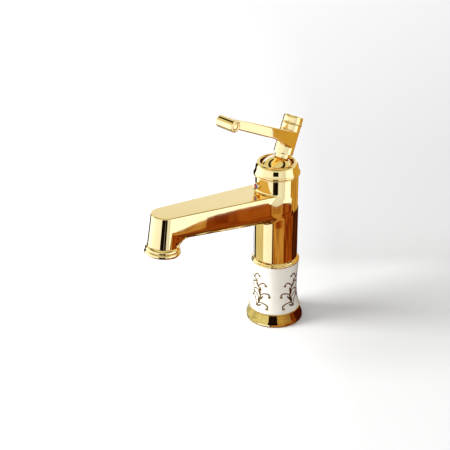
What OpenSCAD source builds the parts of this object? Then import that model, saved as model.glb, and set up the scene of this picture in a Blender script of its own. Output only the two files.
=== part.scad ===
// Single-lever basin mixer: a gold-plated brass column and spout on a glazed ceramic sleeve.
// Millimetres. The origin is the centre of the deck face, +Z is up and the spout points along -Y.

/* [Base and sleeve] */
// Radius of the foot where it meets the deck
foot_r = 27.4; // [26.8:0.1:29]
// Height of the foot
foot_h = 12.4; // [11:0.1:14]
// Radius of the sleeve at its bottom edge
sleeve_foot_r = 24.2; // [23.5:0.1:24.4]
// Radius of the sleeve at its waist
sleeve_waist_r = 21.5; // [20.5:0.1:22.5]
// Radius of the sleeve at its top edge
sleeve_top_r = 22.9; // [22:0.1:23]
// Height of the sleeve's top edge above the deck
sleeve_top_z = 62.5; // [55:0.5:70]
// Height of the trim ring between sleeve and column
trim_h = 4.2; // [3:0.1:6]
// Outer radius of the trim ring
trim_r = 23.2; // [23:0.1:24]

/* [Column] */
// Radius of the column
column_r = 21; // [20.8:0.1:22]
// Height of the column's shoulder, where the bonnet sits
column_top_z = 153; // [152:0.5:154]
// Radius of the threaded shank inside the sleeve
shank_r = 16; // [15:0.1:16]
// Wall radius of the tapped M10x1 inlets
inlet_r = 4.46; // [4.4:0.01:4.6]
// Wall radius of the tapped M8 hole for the fixing stud
stud_r = 3.4; // [3.3:0.05:3.5]

/* [Spout] */
// Distance from the column's axis to the outlet's centre
reach = 125; // [115:1:130]
// Height of the outlet's centre above the deck
outlet_z = 108; // [104:1:110]
// Rise of the spout's flat top in degrees
spout_rise = 3; // [2:0.5:4]
// Height of the spout's top plane at the column's axis
spout_top_z = 137.4; // [136:0.2:138]
// Half width of the spout at the column
spout_root_w = 18.1; // [17:0.1:19]
// Half width of the spout at its neck
spout_neck_w = 14.6; // [13:0.1:15]
// Radius of the tip above the outlet ring
tip_r = 14.7; // [14:0.1:15]
// Forward tilt of the outlet's axis in degrees
outlet_tilt = 6.5; // [4:0.5:8]

/* [Cartridge and handle] */
// Height of the lever's pivot above the deck
pivot_z = 151.5; // [151:0.1:152]
// Lift of the lever above its closed position, in degrees
lift = 22.8; // [0:0.1:26]
// Turn of the lever away from the spout's plane, in degrees
turn = 12; // [-45:1:45]
// Distance from the pivot to the ball at the spindle's lower end
ball_arm = 11; // [10:0.1:11]
// Radius of the dome that closes the bonnet
dome_r = 18.2; // [17.5:0.1:18.3]
// Radius of the handle's hub
hub_r = 9.6; // [9:0.1:10]
// Distance from the stem's axis to the grip bar
lever_reach = 86.6; // [80:0.1:95]

/* [Hidden] */
$fn = 96;
eps = 0.01;

gold = [0.86, 0.65, 0.25];
pale_gold = [0.93, 0.82, 0.55];
glaze = [0.95, 0.94, 0.91];
seal_black = [0.12, 0.12, 0.12];
plastic_white = [0.9, 0.9, 0.88];
plastic_grey = [0.45, 0.47, 0.5];
alumina = [0.97, 0.96, 0.93];
steel = [0.72, 0.73, 0.75];

// Heights of the stack inside the column, each measured from the deck
floor_z = 118.5;          // chamber floor
fixed_z = 122.5;          // top of the cartridge base
moving_z = 126;           // sliding plane between the two ceramic discs
carrier_z = 129.5;        // top of the moving disc
flange_z = 133.6;         // underside of the rotor's flange
roof_z = 136;             // underside of the housing's roof
nut_z = 138.5;            // top of the housing's roof
nut_top_z = 145.5;
chamber_r = 17.7;
thread_r = 18.6;
spigot_r = 20.1;
spigot_top_z = 155.8;
column_z = sleeve_top_z + trim_h;
inlet_xy = [[-7, 3], [7, 3]];
mixed_y = -8.5;
index_z = 145;
index_h = 2.4;
disc_shift = -ball_arm * sin(lift);

// Seals round the shank: outer and inner radius of the ring under the foot, then the sleeve's washers
gasket_outer = 25.9;
gasket_inner = 21.1;
low_washer_r = 21.1;
top_washer_r = 20.6;
washer_h = 0.8;
seal_gap = 0.1;           // radial gap between a seal and its recess

// Seals round the cartridge's ports
port_seal_outer = 5.2;
port_seal_inner = 4;
port_seal_h = 1.4;

// Groove of the O-ring in the column's spigot
groove_low = 153.2;
groove_high = 154.4;
groove_depth = 0.8;

// Index button
button_r = 3.3;
button_pin_r = 1.55;
button_well_r = 2.5;
button_well = 0.6;

// Dome over the stem
dome_wall = 1.4;
dome_rim = dome_r * cos(78);    // the rim's height above the pivot, measured along the stem

// Heights along the stem, each measured from the pivot
collar_low = 16.3;
hub_low = 20.8;
hub_high = 49.4;
grip_high = 39.5;
grip_r = 5.7;
grip_half = 10;

// The arm's sections: distance from the stem, half width, low and high edge, corner radius
arm_root = [2, 9.3, 29.8, 43.6, 3.2];
arm_middle = [27, 7.6, 32.2, 44.8, 3.6];
arm_end = [lever_reach - 5.2, 5.2, 37.2, 45, 3.2];

// A ring turned about Z, from z0 to z1
module ring(r_out, r_in, z0, z1) {
    translate([0, 0, z0]) difference() {
        cylinder(r = r_out, h = z1 - z0);
        translate([0, 0, -1]) cylinder(r = r_in, h = z1 - z0 + 2);
    }
}

module disc(r, z0, z1) {
    translate([0, 0, z0]) cylinder(r = r, h = z1 - z0);
}

// Places its children in the lever's plane, turned about the column
module turned() {
    rotate([0, 0, turn]) children();
}

// Places its children on the stem: origin at the pivot, Z along the stem, -Y towards the grip
module on_stem() {
    turned() translate([0, 0, pivot_z]) rotate([-lift, 0, 0]) children();
}

// Places its children on the outlet's axis: Z points up into the tip
module on_outlet() {
    translate([0, -reach, outlet_z]) rotate([-outlet_tilt, 0, 0]) children();
}

// Outline with square top corners and rounded bottom corners, its top edge on Y = 0
module trough(half_w, depth, corner) {
    translate([-half_w, -depth + corner]) square([2 * half_w, depth - corner]);
    translate([-half_w + corner, -depth]) square([2 * (half_w - corner), depth]);
    for (side = [-1, 1]) translate([side * (half_w - corner), -depth + corner]) circle(r = corner);
}

// Rectangle with four rounded corners, between two heights
module rounded_bar(half_w, low, high, corner) {
    translate([-half_w, low + corner]) square([2 * half_w, high - low - 2 * corner]);
    translate([-half_w + corner, low]) square([2 * (half_w - corner), high - low]);
    for (side = [-1, 1], y = [low + corner, high - corner])
        translate([side * (half_w - corner), y]) circle(r = corner);
}

// A thin upright slice across the Y axis, drawn as X and Z
module slice(y) {
    translate([0, y, 0]) rotate([90, 0, 0]) linear_extrude(0.1) children();
}

// ---- base and sleeve ----

module base_gasket() {
    color(seal_black) ring(gasket_outer, gasket_inner, 0, 2);
}

module base_flange() {
    color(gold) difference() {
        rotate_extrude() {
            polygon([
                [shank_r + 0.05, 0], [foot_r - 0.9, 0], [foot_r, 1], [foot_r, 3.4],
                [foot_r - 0.7, 5], [foot_r - 2.2, 6.8], [24.6, 8.8], [24.1, 10.4], [24.1, 10.8],
                [24.9, 11.2], [24.9, foot_h], [shank_r + 0.05, foot_h]
            ]);
        }
        ring(gasket_outer + seal_gap, gasket_inner - seal_gap, -1, 2);
        ring(low_washer_r + seal_gap, shank_r, foot_h - washer_h, foot_h + 1);
    }
}

// Flat seals above and below the sleeve, each in a recess of the metal
module sleeve_washers() {
    color(seal_black) {
        ring(low_washer_r, shank_r + seal_gap, foot_h - washer_h, foot_h);
        ring(top_washer_r, shank_r + seal_gap, sleeve_top_z, sleeve_top_z + washer_h);
    }
}

// The wall is concave: it narrows from the foot to a waist at half height and widens again to the top
module ceramic_sleeve() {
    h = sleeve_top_z - foot_h;
    lower = [for (i = [0:8]) let (t = i / 8)
        [sleeve_waist_r + (sleeve_foot_r - sleeve_waist_r) * pow(1 - t, 2.2), foot_h + 0.4 + t * h * 0.5]];
    upper = [for (i = [1:8]) let (t = i / 8)
        [sleeve_waist_r + (sleeve_top_r - sleeve_waist_r) * pow(t, 2.2),
         foot_h + h * 0.5 + t * (h * 0.5 - 0.4)]];
    color(glaze) rotate_extrude()
        polygon(concat(
            [[shank_r + 0.6, foot_h], [sleeve_foot_r - 0.4, foot_h]], lower, upper,
            [[sleeve_top_r - 0.4, sleeve_top_z], [shank_r + 0.6, sleeve_top_z]]
        ));
}

module trim_ring() {
    color(gold) difference() {
        rotate_extrude() polygon([
            [shank_r + 0.05, sleeve_top_z], [trim_r - 0.5, sleeve_top_z], [trim_r, sleeve_top_z + 0.6],
            [trim_r, sleeve_top_z + 1.6], [trim_r - 0.6, sleeve_top_z + 2.3],
            [column_r + 0.8, sleeve_top_z + 3], [column_r + 0.1, column_z], [shank_r + 0.05, column_z]
        ]);
        ring(top_washer_r + seal_gap, shank_r, sleeve_top_z - 1, sleeve_top_z + washer_h);
    }
}

// ---- column and spout ----

// The top plane's height at a distance s in front of the column's axis
function top_z(s) = spout_top_z + s * tan(spout_rise);

nose_s = 120;
nose_r = 13.4;
neck_s = 100;

module nose(z0, z1) {
    translate([0, -nose_s, z0]) cylinder(r = nose_r, h = z1 - z0, $fn = 48);
}

module spout_shape() {
    hull() {
        slice(0) translate([0, top_z(0)]) trough(spout_root_w, 30.4, 11, $fn = 32);
        slice(-neck_s) translate([0, top_z(neck_s)]) trough(spout_neck_w, 26, 10, $fn = 32);
        nose(top_z(nose_s) - 22, top_z(nose_s) - 0.7);
    }
    hull() {
        nose(top_z(nose_s) - 14, top_z(nose_s) - 2);
        on_outlet() disc(tip_r, 5.2, 6.2, $fn = 48);
    }
}

// Waterways: two inlets to the chamber's floor, one mixed passage to the tip
module waterways() {
    for (p = inlet_xy) translate([p[0], p[1], 0]) {
        disc(inlet_r, -1, 15);
        disc(3.8, 14, floor_z - 4);
        disc(3.2, floor_z - 5, floor_z + 1);
    }
    translate([0, mixed_y, 0]) disc(3.8, 105, floor_z + 1);
    run_start = [0, mixed_y, 106.5];
    run_bend = [0, -45, 123.5];
    run_end = [0, -reach + 2, 126.5];
    bar_between(run_start, run_bend, 4);
    bar_between(run_bend, run_end, 5);
    translate(run_bend) sphere(r = 5);
    translate(run_start) sphere(r = 4);
    on_outlet() {
        disc(12.05, 0, 14);
        disc(10, 13, 19);
    }
}

// A round bar between two points in the plane X = 0
module bar_between(a, b, r) {
    dy = b[1] - a[1];
    dz = b[2] - a[2];
    translate(a) rotate([-atan2(dy, dz), 0, 0]) cylinder(r = r, h = sqrt(dy * dy + dz * dz));
}

module faucet_body() {
    color(gold) difference() {
        union() {
            disc(shank_r, 0, column_z + 1);
            disc(column_r, column_z, column_top_z);
            disc(spigot_r, column_top_z - 1, spigot_top_z);
            spout_shape();
        }
        disc(chamber_r, floor_z, nut_z + 1);
        disc(thread_r, nut_z, nut_top_z + 1);
        disc(18.9, nut_top_z + 0.5, spigot_top_z + 1);
        ring(spigot_r + 1, spigot_r - groove_depth, groove_low, groove_high);
        waterways();
        translate([0, -9.5, 0]) disc(stud_r, -1, 22);
        index_place() cylinder(r = button_pin_r + 0.05, h = 3.5, center = true);
    }
}

// The index button sits on the column's front, above the spout
module index_place() {
    translate([0, -column_r, index_z]) rotate([90, 0, 0]) children();
}

module index_button() {
    color(pale_gold) difference() {
        index_place() {
            translate([0, 0, -1.7]) cylinder(r = button_pin_r, h = 1.8);
            cylinder(r = button_r, h = index_h);
        }
        index_place() translate([0, 0, index_h - button_well]) cylinder(r = button_well_r, h = 1);
        disc(column_r + 0.02, 130, 160);
    }
}

// One half of the coloured dot in the index button
module half_mark(side) {
    index_place() intersection() {
        translate([0, 0, index_h - button_well]) cylinder(r = button_well_r - 0.05, h = 0.5);
        translate([side > 0 ? 0.05 : -3.05, -3, 0]) cube([3, 6, 3]);
    }
}

module hot_mark() {
    color("firebrick") half_mark(-1);
}

module cold_mark() {
    color("royalblue") half_mark(1);
}

// ---- cartridge ----

port_xy = concat(inlet_xy, [[0, mixed_y]]);

// A seal round each of the three ports
module port_rings(z0, z1, r_out, r_in) {
    for (p = port_xy) translate([p[0], p[1], 0]) ring(r_out, r_in, z0, z1);
}

module floor_seals() {
    color(seal_black) port_rings(floor_z, floor_z + port_seal_h, port_seal_outer, port_seal_inner);
}

module disc_seals() {
    color(seal_black) port_rings(fixed_z - port_seal_h, fixed_z, port_seal_outer, port_seal_inner);
}

module cartridge_base() {
    color(plastic_grey) difference() {
        disc(17.4, floor_z, fixed_z);
        for (p = port_xy) translate([p[0], p[1], 0]) {
            disc(3.6, floor_z - 1, fixed_z + 1);
            disc(port_seal_outer + 0.05, floor_z - 1, floor_z + port_seal_h);
            disc(port_seal_outer + 0.05, fixed_z - port_seal_h, fixed_z + 1);
        }
    }
}

module fixed_disc() {
    color(alumina) difference() {
        disc(15.4, fixed_z, moving_z);
        for (p = port_xy) translate([p[0], p[1], 0]) disc(3.4, fixed_z - 1, moving_z + 1);
    }
}

// The pocket underneath joins the inlets to the mixed port when the lever is lifted
module moving_disc() {
    color(alumina) turned() translate([0, disc_shift, 0]) difference() {
        disc(10.4, moving_z, carrier_z);
        disc(6.6, moving_z - 1, moving_z + 1.8);
    }
}

module disc_carrier() {
    color(plastic_white) turned() translate([0, disc_shift, 0]) difference() {
        union() {
            disc(10.4, carrier_z, 133);
            disc(5.3, 132, 142.8);
        }
        disc(4.2, 136, 144);
    }
}

module cartridge_housing() {
    color(plastic_white) difference() {
        disc(17.4, fixed_z, nut_z);
        disc(15.7, fixed_z - 1, roof_z);
        disc(12.3, roof_z - 1, nut_z + 1);
    }
}

// The rotor turns in the housing, guides the carrier in a long slot and holds the lever pin
module rotor() {
    color(plastic_grey) turned() difference() {
        union() {
            disc(14.8, flange_z, roof_z - 0.15);
            disc(12, flange_z, 144);
            disc(8.2, 143, 154.5);
        }
        translate([0, 0.1, 0]) disc(5.7, flange_z - 1, 144 + eps);
        translate([0, -5.1, 0]) disc(5.7, flange_z - 1, 144 + eps);
        translate([-5.7, -5.1, flange_z - 1]) cube([11.4, 5.2, 144 + eps - flange_z + 1]);
        translate([-4.25, -10, 143]) cube([8.5, 20, 12]);
        translate([0, 0, pivot_z]) rotate([0, 90, 0]) cylinder(r = 2, h = 20, center = true);
    }
}

module lever_pin() {
    color(steel) turned() translate([0, 0, pivot_z]) rotate([0, 90, 0])
        cylinder(r = 2, h = 15, center = true);
}

module cartridge_nut() {
    color(gold) difference() {
        ring(thread_r - 0.1, 12.7, nut_z, nut_top_z);
        for (i = [0:5]) rotate([0, 0, 60 * i]) translate([15, -1.5, nut_top_z - 2.5]) cube([3, 3, 3]);
    }
}

module bonnet_o_ring() {
    color(seal_black) ring(spigot_r, spigot_r - groove_depth + 0.05, groove_low + 0.05, groove_high - 0.05);
}

module bonnet() {
    color(gold) rotate_extrude() polygon([
        [spigot_r + 0.1, column_top_z], [22, column_top_z], [22.35, 153.5], [22.35, 154.3], [21.9, 154.8],
        [22.1, 155.2], [21.9, 155.8], [20.5, 156.4], [20.4, 162.6], [20.1, 163.7], [19.4, 164.5],
        [18.4, 165], [16.1, 165], [15.65, 164.6], [15.65, 163], [16.2, 162.4], [19.3, 161.4],
        [19.3, 156.2], [spigot_r + 0.1, spigot_top_z]
    ]);
}

// ---- handle: drawn on the stem, then lifted and turned ----

module spindle() {
    color(steel) on_stem() difference() {
        union() {
            translate([-3.95, -3.95, -3.5]) cube([7.9, 7.9, 35.5]);
            disc(2.4, -ball_arm, -3);
            translate([0, 0, -ball_arm]) sphere(r = 4);
        }
        rotate([0, 90, 0]) cylinder(r = 2.05, h = 20, center = true);
        disc(2.1, 22, 33);
    }
}

module dome_cap() {
    color(pale_gold) on_stem() difference() {
        sphere(r = dome_r);
        sphere(r = dome_r - dome_wall);
        disc(dome_r + 5, dome_rim - 25, dome_rim);
        disc(6, 10, 20);
        disc(7.15, collar_low, 20);
    }
}

// The collar's spigot passes through the dome and its shoulder sits in the dome's spot face
module stem_collar() {
    color(pale_gold) on_stem() difference() {
        union() {
            disc(7.1, collar_low, hub_low);
            disc(5.9, 14.6, collar_low + 0.1);
        }
        translate([-4, -4, 10]) cube([8, 8, 14]);
    }
}

module arm_slice(s) {
    slice(-s[0]) rounded_bar(s[1], s[2], s[3], s[4], $fn = 32);
}

module handle_lever() {
    color(pale_gold) on_stem() difference() {
        union() {
            disc(hub_r, hub_low, hub_high);
            hull() {
                arm_slice(arm_root);
                arm_slice(arm_middle);
            }
            hull() {
                arm_slice(arm_middle);
                arm_slice(arm_end);
            }
            translate([0, -lever_reach + 6, grip_high]) rotate([90, 0, 0]) cylinder(r = 2.3, h = 4);
        }
        translate([-4, -4, hub_low - 1]) cube([8, 8, 12.3]);
        disc(2.7, 30, 40);
        disc(5, 38, hub_high + 1);
        grip_place() cylinder(r = grip_r + 0.05, h = 22, center = true);
    }
}

module handle_screw() {
    color(steel) on_stem() difference() {
        union() {
            disc(2.05, 24, 38.5);
            disc(4.3, 38, 43);
        }
        disc(2.3, 40.4, 44, $fn = 6);
    }
}

module hub_cap() {
    color(pale_gold) on_stem() rotate_extrude() polygon([
        [0, 44.5], [4.9, 44.5], [4.9, hub_high], [hub_r + 0.4, hub_high],
        [hub_r + 0.7, 50], [hub_r + 0.4, 50.6], [hub_r, 51],
        [hub_r, 56], [hub_r - 0.5, 57.1], [hub_r - 1.6, 57.8], [0, 58.2]
    ]);
}

// Places its children on the grip bar's axis
module grip_place() {
    translate([0, -lever_reach, grip_high]) rotate([0, 90, 0]) children();
}

module grip_bar() {
    color(pale_gold) on_stem() difference() {
        grip_place() cylinder(r = grip_r, h = 2 * grip_half, center = true);
        grip_place() for (side = [-1, 1]) translate([0, 0, side * (grip_half - 0.4)])
            cylinder(r = 4.5, h = 1.8, center = true);
        translate([0, -lever_reach + 8, grip_high]) rotate([90, 0, 0]) cylinder(r = 2.35, h = 6.1);
    }
}

module grip_end_caps() {
    color(gold) on_stem() grip_place() for (side = [-1, 1]) {
        translate([0, 0, side * (grip_half - 0.55)]) cylinder(r = 4.45, h = 1.4, center = true);
        translate([0, 0, side * (grip_half + 0.25)]) cylinder(r = 2.8, h = 0.5, center = true);
    }
}

// ---- outlet ----

module outlet_ring() {
    color(gold) on_outlet() rotate_extrude() polygon([
        [9.8, -3.2], [15.6, -3.2], [16.6, -2.4], [16.9, -1.2], [16.9, 0], [16.3, 0.9], [15.8, 1.2],
        [16.2, 1.7], [16.3, 2.6], [15.9, 3.7], [15, 4.6], [14.6, 5.2], [11.95, 5.2],
        [11.95, 11.4], [10.9, 11.4],
        [10.9, -2], [9.8, -2]
    ]);
}

module aerator_insert() {
    color(plastic_white) on_outlet() difference() {
        disc(10.8, -2, 7);
        for (n = [0:2]) for (k = [0:max(0, 6 * n - 1)])
            rotate([0, 0, n == 0 ? 0 : 60 * k / n]) translate([3.3 * n, 0, 0]) disc(1.25, -3, 8);
    }
}

module aerator_strainer() {
    color(plastic_grey) on_outlet() difference() {
        union() {
            disc(10.7, 7, 8);
            disc(7.4, 8, 10.6);
        }
        disc(6.6, 6, 9.8);
        for (k = [0:7]) rotate([0, 0, 45 * k]) translate([4.4, 0, 0]) disc(0.9, 9, 11);
    }
}

module aerator_gasket() {
    color(seal_black) on_outlet() ring(11.9, 8.6, 11.4, 13.4);
}

base_gasket();
base_flange();
sleeve_washers();
ceramic_sleeve();
trim_ring();
faucet_body();
index_button();
hot_mark();
cold_mark();
floor_seals();
cartridge_base();
disc_seals();
fixed_disc();
moving_disc();
disc_carrier();
cartridge_housing();
rotor();
lever_pin();
cartridge_nut();
bonnet_o_ring();
bonnet();
spindle();
dome_cap();
stem_collar();
handle_lever();
handle_screw();
hub_cap();
grip_bar();
grip_end_caps();
outlet_ring();
aerator_insert();
aerator_strainer();
aerator_gasket();
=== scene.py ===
"""Looks of a gold-plated basin mixer on a glazed ceramic sleeve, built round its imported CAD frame.

Sizes are in millimetres until a piece is finished, and then in the frame's metres: the origin is the
centre of the deck face, +Z is up and the spout points along -Y.
"""

import logging
import math
from dataclasses import dataclass
from enum import Enum
from typing import Callable, Optional, Sequence, Union

import bmesh
import bpy
import numpy as np
from mathutils import Matrix, Vector

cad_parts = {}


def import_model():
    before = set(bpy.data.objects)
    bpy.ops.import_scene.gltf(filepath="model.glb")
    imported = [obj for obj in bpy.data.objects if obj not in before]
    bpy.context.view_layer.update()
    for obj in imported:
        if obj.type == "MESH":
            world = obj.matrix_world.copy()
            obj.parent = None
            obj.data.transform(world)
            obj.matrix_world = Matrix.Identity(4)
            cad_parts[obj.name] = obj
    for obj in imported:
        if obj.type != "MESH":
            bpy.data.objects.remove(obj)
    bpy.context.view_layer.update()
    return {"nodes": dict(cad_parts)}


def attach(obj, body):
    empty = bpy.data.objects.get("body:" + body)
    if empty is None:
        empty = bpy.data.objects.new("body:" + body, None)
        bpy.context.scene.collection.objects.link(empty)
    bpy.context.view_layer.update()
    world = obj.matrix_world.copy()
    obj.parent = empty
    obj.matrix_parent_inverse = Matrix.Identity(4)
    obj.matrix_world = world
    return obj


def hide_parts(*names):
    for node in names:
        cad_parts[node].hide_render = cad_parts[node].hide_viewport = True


LOG = logging.getLogger("basin_mixer")
MM = 0.001
ORIGIN = (0.0, 0.0, 0.0)
UP = (0.0, 0.0, 1.0)

# Where the sub-assemblies sit, in millimetres and degrees
STEM_PIVOT = (0.0, 0.0, 151.5)
STEM_TURN = 12.0
STEM_LIFT = 22.8
GRIP_REACH = 86.6
GRIP_HEIGHT = 39.5
OUTLET_CENTRE = (0.0, -125.0, 108.0)
OUTLET_LEAN = 6.5
INDEX_CENTRE = (0.0, -21.0, 145.0)

# Edges over this many degrees stay sharp on a piece that has been bored
BORED_EDGE = 40.0

Field = Callable[[np.ndarray], np.ndarray]
Colour = tuple[float, float, float, float]


class Rides(Enum):
    """The body of the frame that a piece moves with."""

    BODY = "root"
    HANDLE = "handle"


# ---------------------------------------------------------------- colours and nodes


def linear(code: str) -> Colour:
    """Turns a colour to the linear values that a shader takes.

    Args:
        code: The sRGB colour as six hex digits.

    Returns:
        Linear red, green, blue and an alpha of 1.
    """
    parts = [int(code[i : i + 2], 16) / 255.0 for i in (0, 2, 4)]
    red, green, blue = (c / 12.92 if c <= 0.04045 else ((c + 0.055) / 1.055) ** 2.4 for c in parts)
    return red, green, blue, 1.0


def add_node(
    tree: bpy.types.NodeTree,
    kind: str,
    settings: Optional[dict[Union[str, int], object]] = None,
    links: Optional[dict[Union[str, int], bpy.types.NodeSocket]] = None,
) -> bpy.types.Node:
    """Adds a node to a tree.

    Args:
        tree: The node tree of a material or of the world.
        kind: The node's type, such as ShaderNodeTexNoise.
        settings: Values by socket name or index, or by the node's own property name.
        links: Output sockets by the name or index of the input that each one feeds.

    Returns:
        The new node.
    """
    node = tree.nodes.new(kind)
    for key, value in (settings or {}).items():
        if isinstance(key, int) or key in node.inputs:
            node.inputs[key].default_value = value
        else:
            setattr(node, key, value)
    for key, socket in (links or {}).items():
        tree.links.new(socket, node.inputs[key])
    return node


def set_stops(ramp: bpy.types.ColorRamp, stops: Sequence[tuple[float, Colour]]) -> None:
    """Gives a colour ramp its stops.

    Args:
        ramp: The ramp of a Color Ramp node.
        stops: Position from 0 to 1 and colour of each stop, in rising order.
    """
    while len(ramp.elements) > 1:
        ramp.elements.remove(ramp.elements[-1])
    ramp.elements[0].position, ramp.elements[0].color = stops[0]
    for position, colour in stops[1:]:
        ramp.elements.new(position).color = colour


# ---------------------------------------------------------------- finishes


@dataclass(frozen=True)
class Finish:
    """A surface: its name, its material slot, which is not used here, and its shader's flat values."""

    name: str
    slot: str
    colour: str
    second_colour: str
    metallic: float
    roughness: tuple[float, float]
    ior: float = 1.5
    coat: float = 0.0
    coat_roughness: float = 0.03
    tone_mm: float = 12.0
    grain_mm: float = 0.8
    grain_depth_mm: float = 0.002
    wave_mm: float = 0.0
    wave_depth_mm: float = 0.0
    stretch: tuple[float, float, float] = (1.0, 1.0, 1.0)

    def material(self) -> bpy.types.Material:
        """Returns the finish's material, and makes it the first time."""
        return bpy.data.materials.get(self.name) or self._make()

    def _make(self) -> bpy.types.Material:
        """Builds the material: two tones, a varying gloss, a fine grain and, where it has one, a slow wave.

        Returns:
            The new material.
        """
        material = bpy.data.materials.new(self.name)
        material.use_nodes = True
        tree = material.node_tree
        shader = tree.nodes["Principled BSDF"]
        shader.inputs["Metallic"].default_value = self.metallic
        shader.inputs["Coat Weight"].default_value = self.coat
        shader.inputs["Coat Roughness"].default_value = self.coat_roughness
        if self.metallic == 0.0:
            shader.inputs["IOR"].default_value = self.ior
        place = add_node(
            tree, "ShaderNodeMapping", {"Scale": self.stretch},
            {"Vector": add_node(tree, "ShaderNodeTexCoord").outputs["Object"]},
        )
        tone, haze, grain, wave = (
            add_node(
                tree, "ShaderNodeTexNoise",
                {"Scale": 1.0 / (size_mm * MM), "Detail": detail, "Roughness": 0.55},
                {"Vector": place.outputs["Vector"]},
            ).outputs["Fac"]
            if size_mm else None
            for size_mm, detail in (
                (self.tone_mm, 3.0), (self.tone_mm * 0.4, 5.0), (self.grain_mm, 4.0), (self.wave_mm, 1.0)
            )
        )
        tint = add_node(tree, "ShaderNodeValToRGB", links={"Fac": tone})
        set_stops(tint.color_ramp, [(0.3, linear(self.colour)), (0.7, linear(self.second_colour))])
        gloss = add_node(
            tree, "ShaderNodeMapRange",
            {"From Min": 0.3, "From Max": 0.7, "To Min": self.roughness[0], "To Max": self.roughness[1]},
            {"Value": haze},
        )
        below: dict[str, bpy.types.NodeSocket] = {}
        for height, depth_mm in ((grain, self.grain_depth_mm), (wave, self.wave_depth_mm)):
            if height:
                bump = add_node(
                    tree, "ShaderNodeBump", {"Strength": 1.0, "Distance": depth_mm * MM},
                    {"Height": height, **below},
                )
                below = {"Normal": bump.outputs["Normal"]}
        tree.links.new(tint.outputs["Color"], shader.inputs["Base Color"])
        tree.links.new(gloss.outputs["Result"], shader.inputs["Roughness"])
        tree.links.new(below["Normal"], shader.inputs["Normal"])
        return material


# Gold plate on mirror-polished brass: a hard clean mirror, warm yellow, with the faint slow wave that
# hand polishing leaves on a casting and a trace of haze where it has been wiped.
GOLD_PLATE = Finish(
    "polished_gold_plate", "gold_plating", "F8D586", "F6D07E", 1.0, (0.025, 0.05),
    tone_mm=26.0, grain_mm=0.5, grain_depth_mm=0.0002, wave_mm=11.0, wave_depth_mm=0.012,
)
# Gilt fired onto the glaze: a thin burnished gold film, duller and browner than the plated metal, and
# broken into grains of about 0.4 mm.
FIRED_GILT = Finish(
    "fired_gilt", "glazed_ceramic", "A8803F", "8A6530", 1.0, (0.26, 0.38),
    tone_mm=2.5, grain_mm=0.4, grain_depth_mm=0.01,
)
# White stoneware under a thick clear glaze: a soft white body with a hard wet gloss over it, and the
# slight pooling of the glaze as a wave some 7 mm long.
GLAZED_STONEWARE = Finish(
    "glazed_white_stoneware", "glazed_ceramic", "EEE9DE", "E8E2D5", 0.0, (0.2, 0.28), ior=1.45,
    coat=0.5, coat_roughness=0.04, tone_mm=9.0, grain_mm=0.6, grain_depth_mm=0.001,
    wave_mm=7.0, wave_depth_mm=0.01,
)
# Moulded EPDM: near black, with a satin skin and a slight bloom.
MOULDED_EPDM = Finish(
    "moulded_epdm", "black_rubber", "17181A", "232427", 0.0, (0.48, 0.62),
    tone_mm=6.0, grain_mm=0.35, grain_depth_mm=0.008,
)
# Moulded acetal, natural: milky white, waxy, with fine spark-eroded grain from the mould.
NATURAL_ACETAL = Finish(
    "moulded_acetal_natural", "white_plastic", "E9E8E2", "DEDDD5", 0.0, (0.34, 0.44), ior=1.48,
    tone_mm=8.0, grain_mm=0.3, grain_depth_mm=0.006,
)
# Moulded acetal, grey: the same skin, coloured through.
GREY_ACETAL = Finish(
    "moulded_acetal_grey", "grey_plastic", "8A8E94", "7C8087", 0.0, (0.34, 0.46), ior=1.48,
    tone_mm=8.0, grain_mm=0.3, grain_depth_mm=0.006,
)
# Lapped alumina: cream white, and so flat that it has a soft even sheen.
LAPPED_ALUMINA = Finish(
    "lapped_alumina", "alumina_ceramic", "F4F1E6", "EAE6D8", 0.0, (0.16, 0.24), ior=1.76,
    tone_mm=10.0, grain_mm=0.25, grain_depth_mm=0.001,
)
# Turned stainless steel: grey, with tool marks round it, 0.3 mm apart so that they show.
TURNED_STEEL = Finish(
    "turned_stainless_steel", "steel", "BFC0C2", "A9ABAE", 1.0, (0.22, 0.36),
    tone_mm=5.0, grain_mm=0.3, grain_depth_mm=0.004, stretch=(0.12, 0.12, 1.0),
)
# Machined brass, not plated: pinkish yellow and dull beside the gold plate, with tool marks round it.
MACHINED_BRASS = Finish(
    "machined_brass", "raw_brass", "D1AE63", "B8924A", 1.0, (0.26, 0.4),
    tone_mm=5.0, grain_mm=0.3, grain_depth_mm=0.004, stretch=(0.12, 0.12, 1.0),
)
# Gloss polystyrene, red and blue: the two halves of the dot that tells hot from cold.
RED_STYRENE = Finish(
    "moulded_styrene_red", "red_plastic", "8E1216", "7F0E12", 0.0, (0.14, 0.2), ior=1.59,
    coat=0.3, tone_mm=3.0, grain_mm=0.3, grain_depth_mm=0.001,
)
BLUE_STYRENE = Finish(
    "moulded_styrene_blue", "blue_plastic", "1B3C7C", "17346E", 0.0, (0.14, 0.2), ior=1.59,
    coat=0.3, tone_mm=3.0, grain_mm=0.3, grain_depth_mm=0.001,
)

# The frame's own nodes that stay in sight or inside, and what each is made of
KEPT_NODES: dict[str, Finish] = {
    "base_gasket": MOULDED_EPDM,
    "sleeve_washers": MOULDED_EPDM,
    "hot_mark": RED_STYRENE,
    "cold_mark": BLUE_STYRENE,
    "floor_seals": MOULDED_EPDM,
    "cartridge_base": GREY_ACETAL,
    "disc_seals": MOULDED_EPDM,
    "fixed_disc": LAPPED_ALUMINA,
    "moving_disc": LAPPED_ALUMINA,
    "disc_carrier": NATURAL_ACETAL,
    "cartridge_housing": NATURAL_ACETAL,
    "rotor": GREY_ACETAL,
    "lever_pin": TURNED_STEEL,
    "cartridge_nut": MACHINED_BRASS,
    "bonnet_o_ring": MOULDED_EPDM,
    "spindle": TURNED_STEEL,
    "handle_screw": TURNED_STEEL,
    "aerator_insert": NATURAL_ACETAL,
    "aerator_strainer": GREY_ACETAL,
    "aerator_gasket": MOULDED_EPDM,
}


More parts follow.
